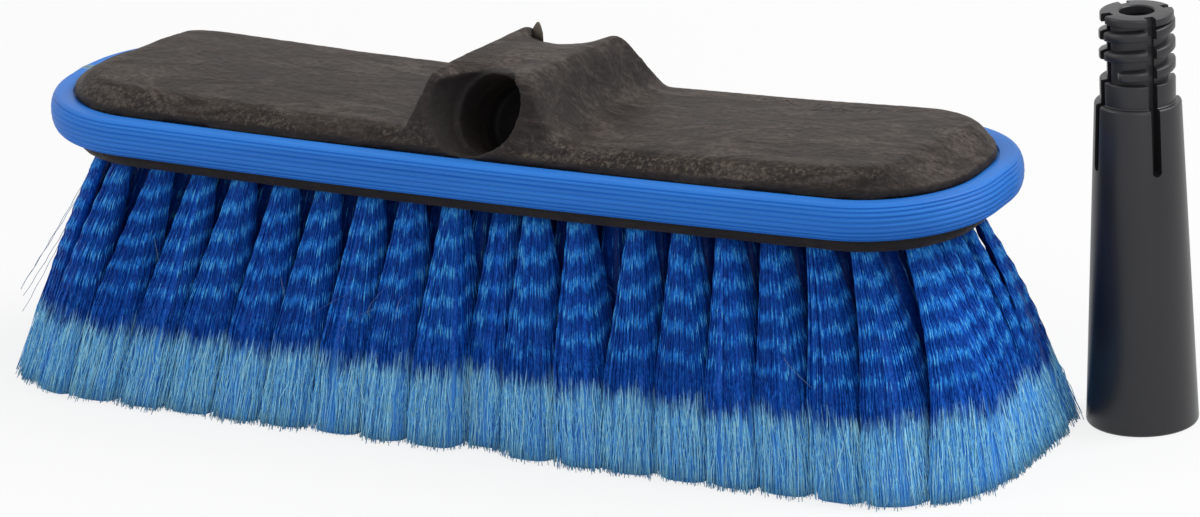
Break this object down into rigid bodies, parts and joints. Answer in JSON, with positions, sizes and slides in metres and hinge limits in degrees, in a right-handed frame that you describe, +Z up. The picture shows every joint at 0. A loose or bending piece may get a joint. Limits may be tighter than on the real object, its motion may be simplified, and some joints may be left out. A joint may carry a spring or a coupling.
{
  "type": "wash brush head",
  "caption": "Wash brush head with a rubber bumper, flared crimped bristles and angled handle sockets, with a loose tapered handle adapter beside it.",
  "frame": {"origin": "on the floor under the middle of the standing set, brush and adapter together", "axes": "+Z up from the bristle tips to the block, +X along the block towards the loose adapter, +Y to the rear of the brush"},
  "size_m": [0.3084, 0.098, 0.1076],
  "materials": {
    "block_plastic": "moulded structural foam, dark brown-black, with flow marks",
    "bumper_rubber": "satin blue with fine ribs along its length",
    "bristle_fibre": "crimped blue fibre with pale flagged ends",
    "adapter_plastic": "satin black moulded plastic"
  },
  "bodies": {
    "brush": {"brush_block": "block_plastic", "bumper_strip": "bumper_rubber", "tuft_row_01": "bristle_fibre", "tuft_row_02": "bristle_fibre", "tuft_row_03": "bristle_fibre", "tuft_row_04": "bristle_fibre", "tuft_row_05": "bristle_fibre", "tuft_row_06": "bristle_fibre", "tuft_row_07": "bristle_fibre", "tuft_row_08": "bristle_fibre", "tuft_row_09": "bristle_fibre", "tuft_row_10": "bristle_fibre", "tuft_row_11": "bristle_fibre", "tuft_row_12": "bristle_fibre", "tuft_row_13": "bristle_fibre", "tuft_row_14": "bristle_fibre", "tuft_row_15": "bristle_fibre", "tuft_row_16": "bristle_fibre", "tuft_row_17": "bristle_fibre", "tuft_row_18": "bristle_fibre", "tuft_row_19": "bristle_fibre", "tuft_row_20": "bristle_fibre"},
    "adapter": {"handle_adapter": "adapter_plastic"}
  },
  "joints": [
    {"name": "adapter_lift", "type": "slide", "parent": "brush", "child": "adapter", "axis": [0, 0, 1], "range_m": [0, 0.12]}
  ]
}
